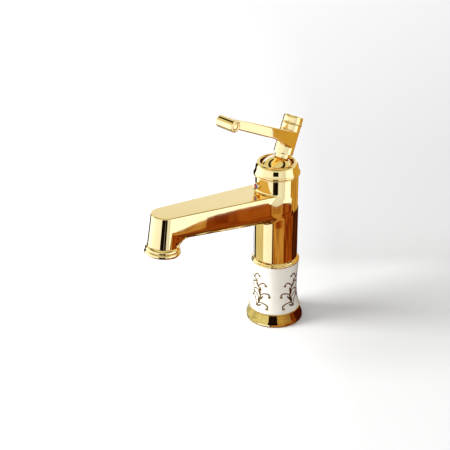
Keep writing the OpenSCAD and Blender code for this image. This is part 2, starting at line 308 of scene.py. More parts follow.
# ---------------------------------------------------------------- making and placing pieces


def upright() -> Matrix:
    """Returns the place of a piece that stands on the deck, on the column's axis."""
    return Matrix.Identity(4)


def leaning(centre: tuple[float, float, float], degrees: float) -> Matrix:
    """Returns a place at a centre, turned about X."""
    return Matrix.Translation(centre) @ Matrix.Rotation(math.radians(degrees), 4, "X")


def on_stem() -> Matrix:
    """Returns the stem's place: origin at the lever's pivot, Z along the stem, -Y towards the grip."""
    return Matrix.Rotation(math.radians(STEM_TURN), 4, "Z") @ leaning(STEM_PIVOT, -STEM_LIFT)


def on_outlet() -> Matrix:
    """Returns the outlet's place: origin at the outlet's centre, Z up into the tip."""
    return leaning(OUTLET_CENTRE, -OUTLET_LEAN)


def on_grip() -> Matrix:
    """Returns the grip bar's place: origin at its centre, Z along the bar."""
    centre = Matrix.Translation((0.0, -GRIP_REACH, GRIP_HEIGHT))
    return on_stem() @ centre @ Matrix.Rotation(math.radians(90.0), 4, "Y")


def on_index() -> Matrix:
    """Returns the index button's place: origin on the column's front, Z out of it."""
    return leaning(INDEX_CENTRE, 90.0)


def to_object(bm: bmesh.types.BMesh, name: str) -> bpy.types.Object:
    """Closes a mesh, turns its faces outwards and makes it an object, still in millimetres.

    Args:
        bm: The mesh, which is freed.
        name: The object's name.

    Returns:
        The new object, linked to the scene.
    """
    bmesh.ops.remove_doubles(bm, verts=bm.verts, dist=1e-4)
    bmesh.ops.recalc_face_normals(bm, faces=bm.faces)
    mesh = bpy.data.meshes.new(name)
    bm.to_mesh(mesh)
    bm.free()
    piece = bpy.data.objects.new(name, mesh)
    bpy.context.scene.collection.objects.link(piece)
    return piece


def applied(piece: bpy.types.Object) -> bpy.types.Object:
    """Applies an object's modifiers to its mesh.

    Args:
        piece: The object.

    Returns:
        The same object, with the finished mesh and no modifiers.
    """
    graph = bpy.context.evaluated_depsgraph_get()
    graph.update()
    mesh = bpy.data.meshes.new_from_object(piece.evaluated_get(graph))
    old, piece.data = piece.data, mesh
    piece.modifiers.clear()
    bpy.data.meshes.remove(old)
    return piece


def cut(piece: bpy.types.Object, *tools: bpy.types.Object) -> bpy.types.Object:
    """Cuts tools out of a piece and removes them.

    Args:
        piece: The piece that is cut.
        tools: Closed objects in the same millimetre frame.

    Returns:
        The piece with the holes in its mesh.
    """
    for tool in tools:
        cutter = piece.modifiers.new("cut", "BOOLEAN")
        cutter.operation, cutter.solver, cutter.object = "DIFFERENCE", "EXACT", tool
    applied(piece)
    for tool in tools:
        bpy.data.objects.remove(tool)
    return piece


def weighted_normals(mesh: bpy.types.Mesh) -> None:
    """Shades a mesh smooth, with the large faces keeping their own direction beside small fillets.

    Args:
        mesh: The mesh, at its final size.
    """
    polygons = mesh.polygons
    polygons.foreach_set("use_smooth", np.ones(len(polygons), bool))
    normals, areas = np.zeros(len(polygons) * 3), np.zeros(len(polygons))
    polygons.foreach_get("normal", normals)
    polygons.foreach_get("area", areas)
    corners = np.zeros(len(mesh.loops), np.int64)
    mesh.loops.foreach_get("vertex_index", corners)
    counts = np.zeros(len(polygons), np.int64)
    polygons.foreach_get("loop_total", counts)
    weighted = np.repeat(normals.reshape(-1, 3) * areas[:, None], counts, axis=0)
    total = np.stack([np.bincount(corners, weighted[:, k], len(mesh.vertices)) for k in range(3)], axis=1)
    total /= np.maximum(np.linalg.norm(total, axis=1, keepdims=True), 1e-20)
    mesh.normals_split_custom_set_from_vertices(total.tolist())


@dataclass(frozen=True)
class Dressing:
    """How a finished mesh joins the model: its finish, the body it rides on and the nodes it stands for."""

    finish: Finish
    rides: Rides
    stands_for: tuple[str, ...] = ()

    def put_on(self, piece: bpy.types.Object, place: Matrix, sharp_degrees: float = 0.0) -> bpy.types.Object:
        """Places a millimetre mesh in the frame, shades it, dresses it and reports it.

        Args:
            piece: The object, whose mesh is in the millimetres of its own place.
            place: Its place in the frame, in millimetres.
            sharp_degrees: Edges over this angle stay sharp; 0 keeps every edge soft.

        Returns:
            The finished piece.
        """
        mesh = piece.data
        mesh.transform(Matrix.Diagonal((MM, MM, MM, 1.0)) @ place)
        if sharp_degrees:
            mesh.polygons.foreach_set("use_smooth", np.ones(len(mesh.polygons), bool))
            mesh.set_sharp_from_angle(angle=math.radians(sharp_degrees))
        else:
            weighted_normals(mesh)
        mesh.materials.clear()
        mesh.materials.append(self.finish.material())
        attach(piece, self.rides.value)
        if self.stands_for:
            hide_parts(*self.stands_for)
        LOG.info("%s: %d faces, %s", piece.name, len(mesh.polygons), self.finish.name)
        return piece


def turned(name: str, corners: Sequence[tuple[float, ...]], steps: int = 160) -> bpy.types.Object:
    """Turns a profile about Z, as on a lathe, with each of its corners rounded.

    Args:
        name: The object's name.
        corners: Radius, height and fillet of each corner. The fillet is the length of edge that the
            rounding takes up, 0.2 where it is left out. A profile that starts on the axis ends on it;
            any other one closes on itself.
        steps: Faces round the full turn.

    Returns:
        The closed turned object, in millimetres.
    """
    bm = bmesh.new()
    chain = [bm.verts.new((corner[0], 0.0, corner[1])) for corner in corners]
    solid = corners[0][0] == 0.0
    for start, end in zip(chain, chain[1:] + ([] if solid else chain[:1])):
        bm.edges.new((start, end))
    for vertex, corner in zip(chain, corners):
        fillet = corner[2] if len(corner) > 2 else 0.2
        if corner[0] > 0.0 and fillet > 0.0:
            bmesh.ops.bevel(
                bm, geom=[vertex], offset=fillet, offset_type="OFFSET", segments=5, profile=0.5,
                affect="VERTICES", material=-1, clamp_overlap=True,
            )
    bmesh.ops.spin(
        bm, geom=bm.verts[:] + bm.edges[:], cent=ORIGIN, axis=UP, dvec=ORIGIN,
        angle=2.0 * math.pi, steps=steps, use_merge=True, use_duplicate=False,
    )
    return to_object(bm, name)


def add_drum(
    bm: bmesh.types.BMesh, low_r: float, high_r: float, low: float, high: float, place: Matrix, sides: int = 96
) -> None:
    """Adds a plain round body to a mesh.

    Args:
        bm: The mesh.
        low_r: Radius of the lower end.
        high_r: Radius of the upper end.
        low: Height of the lower end in its own place.
        high: Height of the upper end.
        place: Its place, in millimetres.
        sides: Faces round it.
    """
    bmesh.ops.create_cone(
        bm, cap_ends=True, segments=sides, radius1=low_r, radius2=high_r, depth=high - low,
        matrix=place @ Matrix.Translation((0.0, 0.0, (low + high) / 2.0)),
    )


def square_tool(name: str, side: float, low: float, high: float) -> bpy.types.Object:
    """Makes an upright square tool on the Z axis, for cutting.

    Args:
        name: The object's name.
        side: Its width and depth.
        low: Height of its lower end.
        high: Height of its upper end.

    Returns:
        The tool as an object, in millimetres.
    """
    bm = bmesh.new()
    centre = Matrix.Translation((0.0, 0.0, (low + high) / 2.0))
    bmesh.ops.create_cube(bm, size=1.0, matrix=centre @ Matrix.Diagonal((side, side, high - low, 1.0)))
    return to_object(bm, name)


def rod(
    name: str, radius: float, low: float, high: float, place: Matrix, sides: int = 64
) -> bpy.types.Object:
    """Makes a plain round tool, for cutting.

    Args:
        name: The object's name.
        radius: Its radius.
        low: Height of its lower end in its own place.
        high: Height of its upper end.
        place: Its place, in millimetres.
        sides: Faces round it.

    Returns:
        The rod as an object, in millimetres.
    """
    bm = bmesh.new()
    add_drum(bm, radius, radius, low, high, place, sides)
    return to_object(bm, name)


# ---------------------------------------------------------------- cast shapes


def filleted(a: np.ndarray, b: np.ndarray, radius: Union[float, np.ndarray]) -> np.ndarray:
    """Joins two solids, given as distances, with a round fillet in the corner between them."""
    u, v = np.maximum(radius - a, 0.0), np.maximum(radius - b, 0.0)
    return np.maximum(radius, np.minimum(a, b)) - np.hypot(u, v)


def rounded_common(a: np.ndarray, b: np.ndarray, radius: float) -> np.ndarray:
    """Keeps what two solids, given as distances, have in common, with a rounded edge."""
    u, v = np.maximum(radius + a, 0.0), np.maximum(radius + b, 0.0)
    return np.minimum(-radius, np.maximum(a, b)) + np.hypot(u, v)


def past_corner(x: np.ndarray, z: np.ndarray) -> np.ndarray:
    """Returns the distance to a square corner from the distances to its two sides."""
    return np.minimum(np.maximum(x, z), 0.0) + np.hypot(np.maximum(x, 0.0), np.maximum(z, 0.0))


def smooth_step(low: float, high: float, x: np.ndarray) -> np.ndarray:
    """Rises smoothly from 0 at low to 1 at high."""
    t = np.clip((x - low) / (high - low), 0.0, 1.0)
    return t * t * (3.0 - 2.0 * t)


def settled(points: np.ndarray, field: Field, rounds: int = 5) -> np.ndarray:
    """Moves points onto the surface of a solid.

    Args:
        points: Positions in millimetres.
        field: Distance to the solid's surface, below zero inside.
        rounds: Newton steps.

    Returns:
        The moved positions.
    """
    probe = 0.01
    for _ in range(rounds):
        value = field(points)
        slope = np.empty_like(points)
        for axis in range(3):
            offset = np.zeros(3)
            offset[axis] = probe
            slope[:, axis] = (field(points + offset) - field(points - offset)) / (2.0 * probe)
        step = (value / np.maximum((slope**2).sum(axis=1), 0.2))[:, None] * slope
        size = np.linalg.norm(step, axis=1, keepdims=True)
        points = points - step * np.minimum(1.0, 1.2 / np.maximum(size, 1e-9))
    return points


def cast(name: str, blanks: Sequence[bmesh.types.BMesh], field: Field, grid: float) -> bpy.types.Object:
    """Casts one smooth piece: joins rough blanks, remeshes them evenly and settles them onto the true shape.

    Args:
        name: The object's name.
        blanks: Closed rough solids that overlap, in millimetres.
        field: Distance to the true shape.
        grid: Spacing of the mesh.

    Returns:
        The cast piece, in millimetres.
    """
    whole = bmesh.new()
    for blank in blanks:
        bmesh.ops.recalc_face_normals(blank, faces=blank.faces)
        part = bpy.data.meshes.new("blank")
        blank.to_mesh(part)
        blank.free()
        whole.from_mesh(part)
        bpy.data.meshes.remove(part)
    mesh = bpy.data.meshes.new(name)
    whole.to_mesh(mesh)
    whole.free()
    piece = bpy.data.objects.new(name, mesh)
    bpy.context.scene.collection.objects.link(piece)
    remesh = piece.modifiers.new("even_mesh", "REMESH")
    remesh.mode, remesh.voxel_size = "VOXEL", grid
    applied(piece)
    for smoothing in (6, 3, 0):
        points = np.zeros(len(piece.data.vertices) * 3)
        piece.data.vertices.foreach_get("co", points)
        points = settled(points.reshape(-1, 3), field)
        piece.data.vertices.foreach_set("co", points.ravel())
        if smoothing:
            bm = bmesh.new()
            bm.from_mesh(piece.data)
            for _ in range(smoothing):
                bmesh.ops.smooth_vert(
                    bm, verts=bm.verts, factor=0.5, use_axis_x=True, use_axis_y=True, use_axis_z=True
                )
            bm.to_mesh(piece.data)
            bm.free()
    return piece


def tapered_bar(sections: Sequence[tuple[float, float, float, float]], corner: float) -> bmesh.types.BMesh:
    """Extrudes a rough bar along -Y from section to section and rounds its long edges.

    Args:
        sections: Distance along -Y, half width, low edge and high edge of each one.
        corner: Bevel of the long edges.

    Returns:
        The closed bar.
    """
    bm = bmesh.new()
    reach, half, low, high = sections[0]
    outline = ((-half, low), (half, low), (half, high), (-half, high))
    end = bm.faces.new([bm.verts.new((x, -reach, z)) for x, z in outline])
    for following in sections[1:]:
        middle = (low + high) / 2.0
        reach, half, low, high = following
        made = bmesh.ops.extrude_face_region(bm, geom=[end])["geom"]
        end = next(item for item in made if isinstance(item, bmesh.types.BMFace))
        for vertex in end.verts:
            x = half if vertex.co.x > 0.0 else -half
            vertex.co = (x, -reach, high if vertex.co.z > middle else low)
    long_edges = [edge for edge in bm.edges if abs(edge.verts[0].co.y - edge.verts[1].co.y) > 0.5]
    bmesh.ops.bevel(
        bm, geom=long_edges, offset=corner, offset_type="OFFSET", segments=6, profile=0.5, affect="EDGES",
        material=-1, clamp_overlap=True,
    )
    return bm


@dataclass
class SpoutCasting:
    """Column and spout, one brass casting, with the shank that passes through the ceramic sleeve."""

    column_r: float = 21.0
    column_low: float = 66.7
    column_high: float = 153.0
    spigot_r: float = 20.1
    spigot_middle: float = 153.4
    spigot_high: float = 155.8
    crown_at_axis: float = 137.4
    crown_rise: float = 3.0
    root_half: float = 18.1
    nose_half: float = 13.9
    nose_reach: float = 120.9
    root_depth: float = 30.4
    nose_depth: float = 25.4
    belly_r: float = 11.0
    tip_low_r: float = 14.7
    tip_high_r: float = 13.5
    tip_low: float = 5.2
    tip_high: float = 40.0
    tip_taper_h: float = 31.0
    column_fillet: float = 1.8
    side_fillet: float = 5.5
    throat_fillet: float = 9.5
    crown_edge: float = 0.9
    grid: float = 0.6

    def crown(self, reach: np.ndarray) -> np.ndarray:
        """Returns the height of the spout's flat top at a distance in front of the column's axis."""
        return self.crown_at_axis + reach * math.tan(math.radians(self.crown_rise))

    def column(self, p: np.ndarray) -> np.ndarray:
        """Returns the distance to the column with its spigot."""
        rho = np.hypot(p[:, 0], p[:, 1])
        ends = np.maximum(self.column_low - p[:, 2], p[:, 2] - self.column_high)
        middle = self.spigot_middle
        spigot = np.maximum(rho - self.spigot_r, np.abs(p[:, 2] - middle) - (self.spigot_high - middle))
        return np.minimum(rounded_common(rho - self.column_r, ends, 0.5), spigot)

    def beam(self, p: np.ndarray, tip_r: np.ndarray, to_tip: np.ndarray) -> np.ndarray:
        """Returns the distance to the spout's trough-shaped beam, which runs into the tip at its radius.

        Args:
            p: Positions.
            tip_r: The tip's radius at each position's height.
            to_tip: How far each position is behind the tip's axis.

        Returns:
            The distance at each position.
        """
        reach = -p[:, 1]
        share = reach / (reach + to_tip)
        half = self.root_half + (tip_r - self.root_half) * share
        depth = self.root_depth + (self.nose_depth - self.root_depth) * share
        below = self.crown(reach) - p[:, 2]
        x, z = np.abs(p[:, 0]) - (half - self.belly_r), below - (depth - self.belly_r)
        return np.maximum(past_corner(x, z) - self.belly_r, np.maximum(-to_tip, -reach))

    def spout(self, p: np.ndarray) -> np.ndarray:
        """Returns the distance to the spout: the beam and its leaning tip, cut by the flat top."""
        flat = np.c_[p, np.ones(len(p))] @ np.array(on_outlet().inverted()).T
        rho = np.hypot(flat[:, 0], flat[:, 1])
        taper = (self.tip_high_r - self.tip_low_r) * (flat[:, 2] - self.tip_low) / self.tip_taper_h
        radius = self.tip_low_r + taper
        tip = rounded_common(rho - radius, self.tip_low - flat[:, 2], 0.3)
        behind = flat[:, 1] / np.maximum(rho, 1e-6)
        reach = -p[:, 1]
        depth = self.root_depth + (self.nose_depth - self.root_depth) * reach / self.nose_reach
        height = p[:, 2] - self.crown(reach) + depth
        low_part = 1.0 - smooth_step(0.5, 9.0, height)
        fillet = 0.05 + self.throat_fillet * smooth_step(0.1, 0.85, behind) * low_part
        body = filleted(self.beam(p, radius, flat[:, 1]), tip, fillet)
        above = (p[:, 2] - self.crown(-p[:, 1])) * math.cos(math.radians(self.crown_rise))
        return rounded_common(body, above, self.crown_edge)

    def shape(self, p: np.ndarray) -> np.ndarray:
        """Returns the distance to the whole casting."""
        below = self.crown(-p[:, 1]) - p[:, 2]
        belly = smooth_step(self.root_depth - 14.0, self.root_depth - 3.0, below)
        sides = smooth_step(0.5, 6.0, below) * (1.0 - belly)
        fillet = self.column_fillet + (self.side_fillet - self.column_fillet) * sides
        return filleted(self.column(p), self.spout(p), fillet)

    def blanks(self) -> list[bmesh.types.BMesh]:
        """Returns the rough column, beam and tip."""
        column = bmesh.new()
        for radius, low, high in (
            (self.column_r, self.column_low, self.column_high),
            (self.spigot_r, self.column_high - 1.0, self.spigot_high),
        ):
            add_drum(column, radius, radius, low, high, upright())
        top, end = self.crown_at_axis, float(self.crown(np.array(self.nose_reach)))
        beam = tapered_bar(
            [
                (2.0, self.root_half, top - self.root_depth, top),
                (self.nose_reach, self.nose_half, end - self.nose_depth, end),
            ],
            2.0,
        )
        tip = bmesh.new()
        add_drum(tip, self.tip_low_r, self.tip_high_r, self.tip_low, self.tip_high, on_outlet())
        bmesh.ops.bisect_plane(
            tip, geom=tip.verts[:] + tip.edges[:] + tip.faces[:], plane_co=(0.0, -self.nose_reach, end),
            plane_no=(0.0, math.sin(math.radians(self.crown_rise)), math.cos(math.radians(self.crown_rise))),
            clear_outer=True,
        )
        bmesh.ops.holes_fill(tip, edges=tip.edges, sides=0)
        return [column, beam, tip]

    def build(self) -> list[bpy.types.Object]:
        """Builds the casting with its cartridge chamber and outlet, and the shank below it.

        Returns:
            The casting and the shank.
        """
        casting = cast("casting", self.blanks(), self.shape, self.grid)
        chamber = turned(
            "chamber",
            [(0.0, 118.5), (17.7, 118.5), (17.7, 138.5), (18.6, 138.9), (18.6, 145.8), (18.9, 146.2),
             (18.9, 158.0), (0.0, 158.0)],
            96,
        )
        outlet = turned(
            "outlet", [(0.0, 3.0), (12.05, 3.0), (12.05, 14.0), (10.0, 14.2), (10.0, 19.0), (0.0, 19.0)], 96
        )
        outlet.data.transform(on_outlet())
        pin_hole = rod("pin_hole", 1.6, -3.5, 0.6, on_index(), 32)
        cut(casting, chamber, outlet, pin_hole)
        shank = turned(
            "shank", [(0.0, 0.0), (16.0, 0.0, 0.8), (16.0, self.column_low, 0.1), (0.0, self.column_low)], 96
        )
        holes = [
            rod(name, radius, -1.0, depth, Matrix.Translation((x, y, 0.0)))
            for name, radius, depth, x, y in (
                ("hot_inlet", 4.46, 15.0, -7.0, 3.0), ("cold_inlet", 4.46, 15.0, 7.0, 3.0),
                ("stud_hole", 3.4, 22.0, 0.0, -9.5),
            )
        ]
        cut(shank, *holes)
        gold = Dressing(GOLD_PLATE, Rides.BODY, ("faucet_body",))
        raw = Dressing(MACHINED_BRASS, Rides.BODY, ("faucet_body",))
        return [gold.put_on(casting, upright(), BORED_EDGE), raw.put_on(shank, upright(), BORED_EDGE)]


@dataclass
class LeverCasting:
    """Hub and tapering arm of the lever, one casting, drawn on the stem."""

    hub_r: float = 9.6
    hub_low: float = 20.8
    hub_high: float = 49.4
    grip_r: float = 5.72
    corner: float = 1.2
    fillet: float = 0.15
    grid: float = 0.42

    def arm_half(self, reach: np.ndarray) -> np.ndarray:
        """Returns half the arm's width: parallel beside the hub, then tapering to the grip."""
        return np.interp(reach, [0.0, 12.0, 81.4, 90.0], [9.5, 9.5, 5.6, 5.1])

    def arm_low(self, reach: np.ndarray) -> np.ndarray:
        """Returns the height of the arm's underside, which flares down into the hub."""
        near = np.clip((30.0 - reach) / 26.5, 0.0, 1.2)
        return 33.7 + (reach - 30.0) * 0.055 - 4.6 * near**1.4

    def arm_high(self, reach: np.ndarray) -> np.ndarray:
        """Returns the height of the arm's top."""
        return np.interp(reach, [0.0, 20.0, 60.0, 90.0], [43.6, 43.9, 45.2, 45.1])

    def shape(self, p: np.ndarray) -> np.ndarray:
        """Returns the distance to the lever."""
        rho = np.hypot(p[:, 0], p[:, 1])
        ends = np.maximum(self.hub_low - p[:, 2], p[:, 2] - self.hub_high)
        hub = rounded_common(rho - self.hub_r, ends, 0.35)
        reach = -p[:, 1]
        low, high = self.arm_low(reach), self.arm_high(reach)
        x = np.abs(p[:, 0]) - (self.arm_half(reach) - self.corner)
        z = np.abs(p[:, 2] - (low + high) / 2.0) - ((high - low) / 2.0 - self.corner)
        bar = np.maximum(past_corner(x, z) - self.corner, np.maximum(-reach, reach - GRIP_REACH))
        seat = self.grip_r - np.hypot(reach - GRIP_REACH, p[:, 2] - GRIP_HEIGHT)
        return filleted(hub, rounded_common(bar, seat, 0.15), self.fillet)

    def build(self) -> bpy.types.Object:
        """Builds the lever with the square socket and the screw's well in its hub.

        Returns:
            The finished lever.
        """
        hub = bmesh.new()
        add_drum(hub, self.hub_r, self.hub_r, self.hub_low, self.hub_high, upright())
        reaches = np.array([1.0, 6.0, 12.0, 18.0, 24.0, 30.0, 55.0, 81.3])
        arm = tapered_bar(
            [(s, float(self.arm_half(s)), float(self.arm_low(s)), float(self.arm_high(s))) for s in reaches],
            self.corner,
        )
        lever = cast("lever", [hub, arm], self.shape, self.grid)
        well = turned(
            "well", [(0.0, 30.0), (2.7, 30.0), (2.7, 38.0), (5.0, 38.0), (5.0, 51.0), (0.0, 51.0)], 64
        )
        cut(lever, square_tool("socket", 8.0, 19.7, 32.1), well)
        return Dressing(GOLD_PLATE, Rides.HANDLE, ("handle_lever",)).put_on(lever, on_stem(), BORED_EDGE)


# ---------------------------------------------------------------- turned pieces


@dataclass
class Pedestal:
    """Foot, ceramic sleeve and trim ring, stacked on the shank below the column."""

    bore: float = 16.05
    foot_h: float = 12.4
    sleeve_bore: float = 16.6
    sleeve_foot_r: float = 24.2
    waist_r: float = 21.5
    sleeve_top_r: float = 22.9
    sleeve_top: float = 62.5

    def wall(self, height: float) -> float:
        """Returns the sleeve's outer radius at a height."""
        middle = (self.foot_h + self.sleeve_top) / 2.0
        share = (height - middle) / (self.sleeve_top - middle)
        end = self.sleeve_top_r if share > 0.0 else self.sleeve_foot_r
        return self.waist_r + (end - self.waist_r) * min(abs(share), 1.0) ** (1.4 if share > 0.0 else 2.2)

    def foot(self) -> bpy.types.Object:
        """Returns the flared foot with the bead that holds the sleeve."""
        corners = [
            (self.bore, 0.0, 0.3), (20.95, 0.0), (20.95, 2.0),
            (26.0, 2.0), (26.0, 0.0, 0.1), (26.6, 0.0, 0.2),
            (27.4, 0.9, 0.5), (27.4, 3.3, 0.9), (26.75, 5.0, 0.9), (25.3, 6.9, 0.9), (24.6, 8.8, 0.8),
            (23.8, 10.3, 0.3), (23.8, 10.8, 0.15), (24.7, 10.95, 0.25), (24.95, 11.5, 0.4), (24.7, 12.4, 0.4),
            (21.2, 12.4, 0.1), (21.2, 11.6, 0.1), (self.bore, 11.6, 0.2),
        ]
        piece = turned("foot", corners, 192)
        return Dressing(GOLD_PLATE, Rides.BODY, ("base_flange",)).put_on(piece, upright())

    def sleeve(self) -> bpy.types.Object:
        """Returns the waisted ceramic sleeve."""
        heights = np.linspace(self.foot_h + 0.5, self.sleeve_top - 0.5, 34)
        outer = [(self.wall(z), float(z), 0.0) for z in heights]
        corners = [(self.sleeve_bore, self.foot_h, 0.4), (outer[0][0] - 0.15, self.foot_h, 0.3), *outer]
        corners += [(outer[-1][0] - 0.1, self.sleeve_top, 0.3), (self.sleeve_bore, self.sleeve_top, 0.4)]
        piece = turned("sleeve", corners, 192)
        return Dressing(GLAZED_STONEWARE, Rides.BODY, ("ceramic_sleeve",)).put_on(piece, upright())

    def trim(self) -> bpy.types.Object:
        """Returns the beaded ring between sleeve and column."""
        corners = [
            (self.bore, 63.3, 0.1), (20.7, 63.3, 0.1), (20.7, 62.5, 0.1),
            (22.7, 62.5, 0.1), (23.25, 62.7, 0.5),
            (23.2, 64.3, 0.7), (22.3, 64.6, 0.15), (22.2, 64.8, 0.12), (22.6, 65.1, 0.25), (22.1, 66.1, 0.5),
            (21.1, 66.7, 0.15), (self.bore, 66.7, 0.2),
        ]
        piece = turned("trim_band", corners, 192)
        return Dressing(GOLD_PLATE, Rides.BODY, ("trim_ring",)).put_on(piece, upright())

    def build(self) -> list[bpy.types.Object]:
        """Builds the stack and the scrolls on the sleeve.

        Returns:
            Foot, sleeve, trim ring and scrolls.
        """
        return [self.foot(), self.sleeve(), self.trim(), Scrollwork(self.wall).build()]


@dataclass
class Stroke:
    """One brush stroke of the scrolls: its course on the unrolled sleeve, its width and its round end."""

    course: tuple[tuple[float, float], ...]
    width: float
    bulb: float = 0.0

    def points(self, count: int = 22) -> list[tuple[float, float, float]]:
        """Smooths the course.

        Args:
            count: Points along the stroke.

        Returns:
            Distance round the sleeve, height and half width of each point.
        """
        anchors = np.array([self.course[0], *self.course, self.course[-1]], float)
        last = len(self.course) - 1.0
        made = []
        for t in np.linspace(0.0, last - 0.0001, count):
            k, f = int(t), t - int(t)
            a, b, c, d = anchors[k : k + 4]
            square, cube = 2.0 * a - 5.0 * b + 4.0 * c - d, 3.0 * b - a - 3.0 * c + d
            x, z = 0.5 * (2.0 * b + (c - a) * f + square * f**2 + cube * f**3)
            swell = math.sin(math.pi * (0.12 + 0.76 * t / last))
            made.append((float(x), float(z), self.width * (0.25 + 0.55 * swell)))
        return made


def arcs(
    start: tuple[float, float], heading: float, runs: Sequence[tuple[float, float]]
) -> list[tuple[float, float, float]]:
    """Follows arcs one after another on the unrolled sleeve.

    Args:
        start: Where the first one starts.
        heading: Its first direction in degrees, 90 being straight up.
        runs: Length and turn in degrees of each arc.

    Returns:
        The places passed, each with the direction there.
    """
    x, z = start
    places = [(x, z, heading)]
    for length, turn in runs:
        for _ in range(4):
            middle = math.radians(heading + turn / 8.0)
            x, z = x + math.cos(middle) * length / 4.0, z + math.sin(middle) * length / 4.0
            heading += turn / 4.0
            places.append((x, z, heading))
    return places


@dataclass
class Scrollwork:
    """Gilt scrolls fired on the sleeve, a plain repeated ornament: two mirrored sprays, front and back."""

    wall: Callable[[float], float]
    mean_r: float = 22.0
    front_degrees: float = -33.0
    lift: float = 0.12

    def sprays(self) -> list[Stroke]:
        """Returns the strokes of two mirrored sprays: a bowed stem each, with volutes and leaves in turn."""
        strokes = []
        for side in (1.0, -1.0):
            stem = arcs((20.0, 18.5), 132.0, ((17.0, -58.0), (19.0, -36.0)))
            drawn = [(stem, 1.35, 0.0)]
            for k, (x, z, heading) in enumerate(stem[:-1]):
                hand = 1.0 if k % 2 else -1.0
                curl = ((10.5 - 0.5 * k, hand * 60.0), (4.5, hand * 110.0))
                volute = arcs((x, z), heading + hand * 38.0, curl)
                leaf = arcs((x, z), heading - hand * 42.0, ((6.5 - 0.3 * k, hand * 35.0),))
                drawn += [(volute, 1.05, 1.5), (leaf, 1.15, 0.0)]
            for course, width, bulb in drawn:
                strokes.append(Stroke(tuple((side * x, z) for x, z, _ in course), width, bulb))
        return strokes

    def _on_wall(self, course: float, height: float, turn: float, lift: float) -> Vector:
        """Returns the place on the sleeve's wall of a point of the unrolled drawing."""
        angle = math.radians(self.front_degrees + turn) + course / self.mean_r
        radius = self.wall(height) + lift
        return Vector((radius * math.cos(angle), radius * math.sin(angle), height))

    def build(self) -> bpy.types.Object:
        """Builds every stroke as a thin domed ribbon, sunk a little into the glaze.

        Returns:
            The scrolls as one piece.
        """
        bm = bmesh.new()
        for turn in (0.0, 180.0):
            for stroke in self.sprays():
                self._brush(bm, stroke, turn)
                if stroke.bulb:
                    x, z = stroke.course[-1]
                    out = self._on_wall(x, z, turn, 1.0) - self._on_wall(x, z, turn, 0.0)
                    facing = out.to_track_quat("Z", "Y").to_matrix().to_4x4()
                    size = Matrix.Diagonal((stroke.bulb, stroke.bulb * 0.85, self.lift * 1.5, 1.0))
                    bmesh.ops.create_uvsphere(
                        bm, u_segments=20, v_segments=10, radius=1.0,
                        matrix=Matrix.Translation(self._on_wall(x, z, turn, -0.02)) @ facing @ size,
                    )
        piece = to_object(bm, "gilt_scrolls")
        return Dressing(FIRED_GILT, Rides.BODY).put_on(piece, upright())

    def _brush(self, bm: bmesh.types.BMesh, stroke: Stroke, turn: float) -> None:
        """Draws one stroke: its cross section is extruded from point to point and capped at both ends.

        Args:
            bm: The mesh of all the strokes.
            stroke: The stroke.
            turn: Degrees round the sleeve.
        """
        points = stroke.points()
        shoulder = self.lift * 0.8
        section = ((-1.0, -0.06), (-0.75, shoulder), (0.0, self.lift), (0.75, shoulder), (1.0, -0.06))
        end: Optional[bmesh.types.BMFace] = None
        for k, (x, z, half) in enumerate(points):
            before, after = points[max(k - 1, 0)], points[min(k + 1, len(points) - 1)]
            along = Vector((after[0] - before[0], after[1] - before[1])).normalized()
            places = [
                self._on_wall(x - along.y * half * share, z + along.x * half * share, turn, rise)
                for share, rise in section
            ]
            if end is None:
                end = bm.faces.new([bm.verts.new(place) for place in places])
                continue
            made = bmesh.ops.extrude_face_region(bm, geom=[end])["geom"]
            fresh = next(item for item in made if isinstance(item, bmesh.types.BMFace))
            for vertex, place in zip(fresh.verts, places):
                vertex.co = place
            end = fresh


